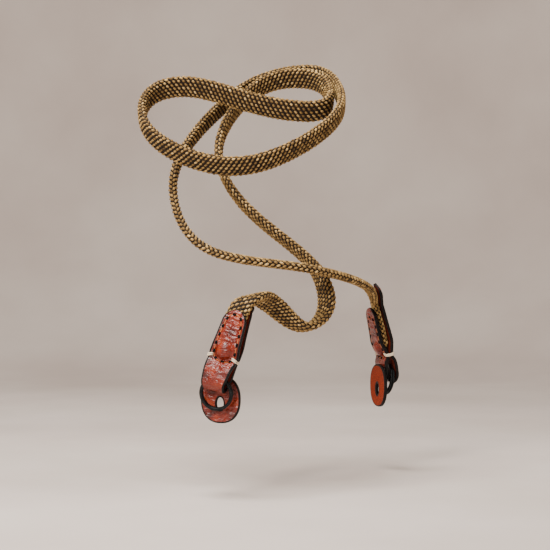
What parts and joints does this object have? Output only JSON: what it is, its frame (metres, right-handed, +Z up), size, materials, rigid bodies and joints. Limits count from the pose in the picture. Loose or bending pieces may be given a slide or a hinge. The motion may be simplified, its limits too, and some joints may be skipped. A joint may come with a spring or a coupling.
{
  "type": "rope camera strap",
  "caption": "Flat braided rope strap looped on itself, with a folded leather tab, a split ring and an oval leather pad at each end.",
  "frame": {"origin": "seat of the left ring: the middle of its lowest wire, where the ring hangs on a strap lug", "axes": "+X from the left ring's seat to the right ring's seat, +Z up, the rope's loops above and behind"},
  "size_m": [0.1628, 0.1146, 0.2163],
  "materials": {
    "braid": "braided tan and dark brown yarn",
    "leather": "polished red-brown cowhide, black painted edges",
    "pad_leather": "smooth orange-brown cowhide, black painted rim",
    "black_steel": "black satin plated steel wire"
  },
  "bodies": {
    "root": {"strap": "braid", "tab_left": "leather", "tab_right": "leather", "ring_left": "black_steel", "ring_right": "black_steel", "pad_left": "pad_leather", "pad_right": "pad_leather"}
  },
  "joints": []
}
